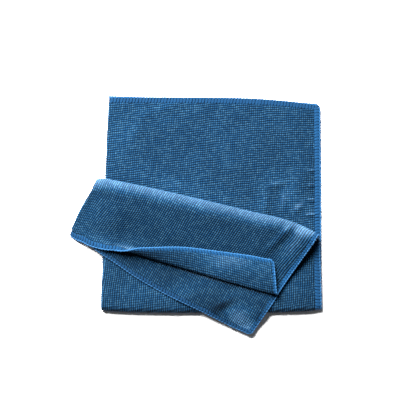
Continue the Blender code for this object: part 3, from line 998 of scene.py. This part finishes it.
@dataclass
class KnitPanel:
    """The raised loops of one visible part of one face."""

    lay: Lay
    sheet: FoldedSheet
    finish: Material
    grain: Grain = Grain()
    samples: int = 4
    ground: float = 0.00052
    peep: float = 0.0006                # height over the ground from which a loop is seen
    relief: float = 0.00114
    round: float = 1.45
    least_full: float = 0.70
    sunk: float = 0.00035
    wander: float = 0.00042
    bends_across: tuple[float, float, float] = (5.0, 1.7, 0.5)
    bends_along: tuple[float, float, float] = (4.0, 1.9, 0.7)
    seed: int = 5

    def span(self) -> tuple[Array, Array]:
        """First stitch and number of stitches, each across and along."""
        (left, front), (right, back) = self.lay.first, self.lay.last
        corners = np.array(self.grain.stitches(np.array([left, right, left, right]),
                                               np.array([front, front, back, back])))
        first = np.floor(corners.min(axis=1, keepdims=True)).astype(int)
        return first, np.ceil(corners.max(axis=1, keepdims=True)).astype(int) - first

    def inside(self, cells: Array) -> Array:
        """Which places in stitches lie in the panel and off the hems."""
        flat = np.array(self.grain.fractions(*cells))
        first, last, hems = (np.array(pair)[:, None] for pair in
                             (self.lay.first, self.lay.last, self.lay.hems))
        inset = (1.0 - np.abs(flat)) * HALF_SIZE
        return ((flat > first) & (flat < last) & (inset > hems)).all(axis=0)

    def find_shown(self, daylight: Daylight, first: Array, count: Array) -> Array:
        """Which stitches of the panel show, with one more all round.

        Args:
            daylight: tells what shows.
            first: first stitch each way.
            count: number of stitches each way.

        Returns:
            True for each stitch that shows.
        """
        cells = (np.indices(count.ravel()) + first[:, :, None] + 0.5).reshape(2, -1)
        seen = self.inside(cells)
        across, along = self.grain.fractions(*cells[:, seen])
        side = self.lay.side.value
        height = np.full(len(across), (self.ground + self.peep) * side)
        seen[seen] = daylight.sees(self.sheet.place(across, along, height),
                                   self.sheet.normals(across, along) * side)
        wide = np.pad(seen.reshape(count.ravel()), 1)
        grown = np.zeros_like(wide)
        for dx in (-1, 0, 1):
            for dy in (-1, 0, 1):
                grown |= np.roll(np.roll(wide, dx, 0), dy, 1)
        return grown[1:-1, 1:-1]

    def loop_heights(self, cells: Array, first: Array, count: Array) -> Array:
        """Height of the loops over their ground, at places in stitches."""
        rng = np.random.default_rng(self.seed)
        full = rng.uniform(self.least_full, 1.0, tuple(count.ravel() + 1))
        i, j = np.clip(np.floor(cells).astype(int) - first, 0, count)
        ridge, head = 1.0 - np.abs(2.0 * (cells - np.floor(cells)) - 1.0) ** self.round
        return (self.relief * (1.0 - self.lay.wale_cut * (1.0 - ridge))
                * (1.0 - self.lay.course_cut * (1.0 - head * full[i, j])))

    def build(self, daylight: Daylight) -> Object:
        """Make the loops.

        Args:
            daylight: tells which stitches show.

        Returns:
            The object.
        """
        first, count = self.span()
        shown = self.find_shown(daylight, first, count)
        fine = count * self.samples
        bm = grid(*fine.ravel().tolist())
        centres = np.array([f.calc_center_median().xy for f in bm.faces]).T
        cells = first + (centres + 1.0) / 2.0 * count
        i, j = np.floor(cells).astype(int) - first
        keep = shown[i, j] & self.inside(cells)
        hidden = [f for f, kept in zip(bm.faces, keep) if not kept]
        bmesh.ops.delete(bm, geom=hidden, context="FACES")
        if self.lay.side is Side.INNER:
            bmesh.ops.reverse_faces(bm, faces=bm.faces)
        rim = np.array([v.is_boundary for v in bm.verts])
        mesh = to_mesh(bm, self.lay.name)
        flat = read_places(mesh)[:, :2].T
        cells = first + np.round((flat + 1.0) / 2.0 * fine) / self.samples
        height = self.ground + self.loop_heights(cells, first, count)
        height = np.where(rim, self.sunk, height)
        across, along = self.grain.fractions(*cells)
        across = across + self.wander * self.drift(cells, self.bends_across, 1) / HALF_WIDTH
        along = along + self.wander * self.drift(cells, self.bends_along, 3) / MEAN_REACH
        write_map(mesh, "weave", *cells)
        write_map(mesh, "OFBake", *(0.005 + 0.99 * ((cells - first) / count)))
        # Painted light and shade of each vertex, written into the painted-light map.
        painted_light = self.painted_light_of(across, along)
        write_map(mesh, "painted_light", painted_light, painted_light)
        write_places(mesh, self.sheet.place(across, along, height * self.lay.side.value))
        return link(mesh, self.finish)

    def drift(self, cells: Array, bends: tuple[float, float, float], draw: int) -> Array:
        """How far the rows of loops wander.

        Args:
            cells: places in stitches.
            bends: grain of the wide bends, grain of the tight ones, and their share.
            draw: which random draw it is.

        Returns:
            From about -1 to 1.
        """
        wide, tight, share = bends
        return (SoftNoise(wide, self.seed + draw)(*cells)
                + share * SoftNoise(tight, self.seed + draw + 1)(*cells))

    def painted_light_of(self, across: Array, along: Array) -> Array:
        """Painted light and shade: the panel's own share, its patches, and painted highlight
        where the cloth faces back and left, painted shade where it faces forwards.
        """
        normals = self.sheet.normals(across, along) * self.lay.side.value
        facing_lamp = normals @ np.array([-math.sin(PAINTED_LIGHT_TURN), math.cos(PAINTED_LIGHT_TURN), 0.0])
        rise = PAINTED_HIGHLIGHT * np.maximum(facing_lamp, 0.0) + PAINTED_SHADE * np.minimum(facing_lamp, 0.0)
        x, y, _ = self.sheet.middle(across, along).T
        painted_patch_gain = self.sheet.rise_of(x, y, PAINTED_PATCHES[self.lay.name])
        return self.lay.painted_light * np.clip(1.0 + rise, *PAINTED_LIGHT_LIMITS) * (1.0 + painted_patch_gain)


class Edge(Enum):
    """The four edges of the flat square: whether each runs across, and its side."""

    BACK = (True, 1.0)
    TURNED = (True, -1.0)
    UPPER_SIDE = (False, 1.0)
    LOWER_SIDE = (False, -1.0)


class Bend(NamedTuple):
    """One point of the hem thread's way round the edge, millimetres."""

    inset: float
    height: float
    advance: float
    width: float
    thickness: float


WRAP = (
    Bend(5.5, 0.30, 0.00, 1.4, 0.3),
    Bend(5.2, 0.55, 0.03, 2.8, 0.3),
    Bend(3.8, 0.64, 0.12, 3.2, 0.3),
    Bend(2.2, 0.66, 0.24, 3.2, 0.3),
    Bend(0.9, 0.64, 0.36, 2.8, 0.3),
    Bend(0.1, 0.42, 0.45, 2.0, 0.5),
    Bend(-0.2, 0.00, 0.52, 1.6, 0.5),
    Bend(0.1, -0.42, 0.58, 2.0, 0.5),
    Bend(0.8, -0.64, 0.66, 2.8, 0.4),
    Bend(1.6, -0.68, 0.78, 3.1, 0.4),
    Bend(2.6, -0.66, 0.90, 3.0, 0.4),
    Bend(3.3, -0.50, 0.97, 2.2, 0.4),
)


class HemPaintedLight(NamedTuple):
    """Painted light and shade of a hem at one place along its edge, and how far in it reaches.
    """

    place: float
    tone: float
    reach: float = 1.0


HEM_PAINTED_LIGHT = {
    Edge.BACK: (HemPaintedLight(-1.0, 0.66), HemPaintedLight(1.0, 0.66)),
    Edge.TURNED: (HemPaintedLight(-1.0, 0.56), HemPaintedLight(-0.4, 0.52), HemPaintedLight(-0.3, 0.51, 0.7),
                  HemPaintedLight(-0.1, 0.50, 0.7), HemPaintedLight(0.1, 0.80, 0.9), HemPaintedLight(1.0, 1.05)),
    Edge.UPPER_SIDE: (HemPaintedLight(-1.0, 1.0, 0.55), HemPaintedLight(-0.36, 1.0, 0.55), HemPaintedLight(-0.2, 0.85),
                      HemPaintedLight(1.0, 0.85)),
    Edge.LOWER_SIDE: (HemPaintedLight(-1.0, 0.75), HemPaintedLight(1.0, 0.75)),
}


@dataclass
class Hem:
    """Overlock thread round one raw edge: wraps over both faces, and knots on the edge."""

    edge: Edge
    sheet: FoldedSheet
    finish: Material
    rope_finish: Material
    pitch: float = 0.0031
    overrun: float = 0.0003
    sides: int = 6
    bake_rows: int = 12
    uneven: float = 0.07
    uneven_advance: float = 0.35
    uneven_thickness: float = 0.5
    rope_rings: int = 8
    rope_radius: float = 0.00085
    rope_inset: float = -0.0002
    rope_uneven: float = 0.10
    rope_tallness: float = 1.15
    knot_slant: float = 0.8
    knot_neck: float = 0.55             # radius between the knots, and what a knot adds
    knot_swell: float = 0.45
    seed: int = 21

    def length(self) -> float:
        """Length of the flat edge."""
        return 2.0 * (HALF_WIDTH if self.edge.value[0] else MEAN_REACH)

    def turns(self) -> int:
        """Number of stitches."""
        return round(self.length() / self.pitch)

    def fold(self, run: Array, inset: Array, height: Array) -> Array:
        """Carry places on the flat edge to the folded cloth.

        Args:
            run: distance from the edge's middle.
            inset: distance in from the edge.
            height: height over the sheet's middle, positive on the outer face.

        Returns:
            The places.
        """
        runs_across, sign = self.edge.value
        if runs_across:
            across, along = run / HALF_WIDTH, sign * (1.0 - inset / MEAN_REACH)
        else:
            across, along = sign * (1.0 - inset / HALF_WIDTH), run / MEAN_REACH
        return self.sheet.place(across, along, height)

    def wraps(self, step: Array, angle: Array) -> tuple[Array, Array, Array]:
        """The flat thread that repeats the table of bends at each stitch.

        Args:
            step: bends from the thread's start.
            angle: angle round the thread.

        Returns:
            Distance along the edge, inset and height of each place.
        """
        turn, bend = np.divmod(step.astype(int), len(WRAP))
        before, here, after = ({name: column(WRAP, name)[(bend + way) % len(WRAP)]
                                for name in Bend._fields} for way in (-1, 0, 1))
        way_inset = after["inset"] - before["inset"]
        way_height = after["height"] - before["height"]
        way = np.maximum(np.hypot(way_inset, way_height), 1e-9)
        rng = np.random.default_rng(self.seed)
        loose = rng.normal(0.0, self.uneven, (self.turns() + 2, 3))[turn]
        half_width = here["width"] * (1.0 + loose[:, 0]) / (2.0 * PER_METRE)
        run = (turn + here["advance"] + self.uneven_advance * loose[:, 2]) * self.pitch
        run = run - self.length() / 2.0 + half_width * np.cos(angle)
        thick = here["thickness"] * (1.0 + self.uneven_thickness * loose[:, 1])
        lift = thick / (2.0 * PER_METRE) * np.sin(angle)
        inset = here["inset"] / PER_METRE * self.along_edge(run, "reach")
        return (run, inset + lift * (way_height / way),
                here["height"] / PER_METRE - lift * (way_inset / way))

    def knots(self, step: Array, angle: Array) -> tuple[Array, Array, Array]:
        """The row of knots in which the threads lock over the raw edge.

        Args:
            step: rings from the row's start.
            angle: angle round the row.

        Returns:
            Distance along the edge, inset and height of each place.
        """
        rng = np.random.default_rng(self.seed + 1)
        loose = 1.0 + rng.normal(0.0, self.rope_uneven, self.turns() + 1)
        phase = step / self.rope_rings
        turn = 2.0 * math.pi * phase - self.knot_slant * np.sin(angle)
        swell = self.knot_neck + self.knot_swell * (0.5 + 0.5 * np.cos(turn))
        radius = self.rope_radius * loose[phase.astype(int)] * swell
        return (phase * self.pitch - self.length() / 2.0,
                self.rope_inset - radius * np.cos(angle),
                self.rope_tallness * radius * np.sin(angle))

    def thread(self, name: str, rings: int, way: Callable) -> Mesh:
        """Make one thread flat and fold it with the cloth.

        Args:
            name: the piece's name.
            rings: rings in one stitch.
            way: gives the thread's places from ring and angle.

        Returns:
            The closed mesh.
        """
        total = self.turns() * rings
        mesh = to_mesh(grid(total, self.sides), name)
        flat = read_places(mesh)
        step = np.round((flat[:, 0] + 1.0) / 2.0 * total)
        angle = (flat[:, 1] + 1.0) * math.pi
        run, inset, height = way(step, angle)
        half = self.length() / 2.0 + self.overrun
        run = np.clip(run, -half, half)
        phase, around = step / rings, angle / (2.0 * math.pi)
        write_map(mesh, "twist", phase, around)
        corner = corners_of(mesh)
        write_corners(mesh, "OFBake", self.bake_map(phase[corner], around[corner]))
        # Painted light and shade along the hem go into its painted-light map.
        tone = self.along_edge(run, "tone")
        write_map(mesh, "painted_light", tone, tone)
        write_places(mesh, self.fold(run, inset, height))
        return to_mesh(self.close(mesh), name)

    def close(self, mesh: Mesh) -> BMesh:
        """Join a thread's seam, cap its ends and turn its faces outwards."""
        bm = bmesh.new()
        bm.from_mesh(mesh)
        bpy.data.meshes.remove(mesh)
        bmesh.ops.remove_doubles(bm, verts=bm.verts, dist=1e-7)
        ends = [e for e in bm.edges if e.is_boundary]
        bmesh.ops.holes_fill(bm, edges=ends, sides=self.sides + 2)
        bmesh.ops.recalc_face_normals(bm, faces=bm.faces)
        return bm

    def along_edge(self, run: Array, name: str) -> Array:
        """A column of the hem's table at distances from the edge's middle."""
        rows = HEM_PAINTED_LIGHT[self.edge]
        return np.interp(2.0 * run / self.length(), column(rows, "place"), column(rows, name))

    def bake_map(self, phase: Array, around: Array) -> Array:
        """Lay the long thread out in rows, so that each face keeps its own place."""
        per_row = math.ceil(self.turns() / self.bake_rows)
        row = np.repeat(np.floor(phase.reshape(-1, 4).min(axis=1) / per_row), 4)
        y = (row + 0.05 + 0.9 * around) / self.bake_rows
        return np.stack((phase / per_row - row, y), axis=-1)

    def build(self) -> list[Object]:
        """Make the wraps over both faces and the rope on the edge.

        Returns:
            The two objects.
        """
        name = "hem_" + self.edge.name.lower()
        wraps = self.thread(name, len(WRAP), self.wraps)
        rope = self.thread(name + "_rope", self.rope_rings, self.knots)
        return [link(wraps, self.finish), link(rope, self.rope_finish)]


@dataclass
class Studio:
    """White floor, soft light from behind and a camera high in front."""

    aim: tuple[float, float, float] = (0.01172, 0.00572, 0.0050)
    eye: tuple[float, float, float] = (-0.0012, -0.11648, 1.09898)
    upward: Vector = field(default_factory=lambda: Vector((0.0, 0.99452, 0.10453)))
    lens: float = 99.47
    key_power: float = 97.5
    key_size: float = 0.74
    key_azimuth: float = 120.0
    key_elevation: float = 51.0
    key_distance: float = 1.1
    ambient: float = 0.110
    floor_half: float = 0.75

    def build_floor(self) -> Object:
        """The pale floor."""
        bm = bmesh.new()
        bmesh.ops.create_grid(bm, x_segments=2, y_segments=2, size=self.floor_half)
        bmesh.ops.translate(bm, verts=bm.verts, vec=(0.0, 0.0, -0.00005))
        floor = link(to_mesh(bm, "floor"), FloorFinish().make())
        return floor

    def build_light(self) -> None:
        """A broad lamp over the far side, and white air all round."""
        lamp = bpy.data.lights.new("key", "AREA")
        lamp.shape = "DISK"
        lamp.size = self.key_size
        lamp.energy = self.key_power
        key = bpy.data.objects.new("key", lamp)
        way = direction(self.key_azimuth, self.key_elevation)
        key.location = way * self.key_distance
        key.rotation_mode = "QUATERNION"
        key.rotation_quaternion = way.to_track_quat("Z", "Y")
        bpy.context.collection.objects.link(key)
        air = NodeWriter(bpy.data.worlds.new("air"))
        soft, plain = (air.node("ShaderNodeBackground", {0: WHITE, 1: strength}).outputs[0]
                       for strength in (self.ambient, 1.0))
        seen = air.node("ShaderNodeLightPath").outputs["Is Camera Ray"]
        both = air.node("ShaderNodeMixShader", {0: seen, 1: soft, 2: plain})
        bpy.context.scene.world = air.finish(both, "ShaderNodeOutputWorld")

    def build_camera(self) -> None:
        """The camera, 1.1 m away and six degrees off the plumb line."""
        data = bpy.data.cameras.new("camera")
        data.lens = self.lens
        data.sensor_width = 36.0
        data.clip_start = 0.05
        data.clip_end = 20.0
        camera = bpy.data.objects.new("camera", data)
        bpy.context.collection.objects.link(camera)
        eye, aim = Vector(self.eye), Vector(self.aim)
        away = (eye - aim).normalized()
        level = self.upward.cross(away).normalized()
        camera.matrix_world = Matrix((level, away.cross(level), away)).transposed().to_4x4()
        camera.location = eye
        bpy.context.scene.camera = camera

    def build(self) -> Object:
        """Make all of it.

        Returns:
            The floor.
        """
        view = bpy.context.scene.view_settings
        view.view_transform = "Standard"
        view.look = "None"
        self.build_light()
        self.build_camera()
        return self.build_floor()


def report(piece: Object) -> None:
    """Log a finished piece."""
    piece.data.calc_loop_triangles()
    LOG.info("%s: %d triangles", piece.name, len(piece.data.loop_triangles))


def main() -> None:
    """Build the cloth and its studio."""
    logging.basicConfig(level=logging.INFO, format="%(name)s: %(message)s")
    floor = Studio().build()
    sheet = FoldedSheet()
    knit = KnitFinish("knit_ground", has_painted_light=False).make()
    thread = ThreadFinish("hem_thread").make()
    # The rope's lighter colours are a painted highlight on the knots along the edge.
    rope = ThreadFinish("hem_rope", shade=(0.0030, 0.030, 0.100),
                        light=(0.030, 0.120, 0.260)).make()
    core = Core(sheet, knit).build()
    report(core)
    daylight = Daylight(core)
    parts = []
    for lay in PANELS:
        finish = KnitFinish(lay.name, wale_share=lay.wale_cut, course_share=lay.course_cut)
        parts.append(KnitPanel(lay, sheet, finish.make()).build(daylight))
        report(parts[-1])
    for edge in Edge:
        for piece in Hem(edge, sheet, thread, rope).build():
            parts.append(piece)
            report(piece)
    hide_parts("cloth")
    for piece in [core, *parts]:
        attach(piece, "root")


if __name__ == "__main__":
    main()
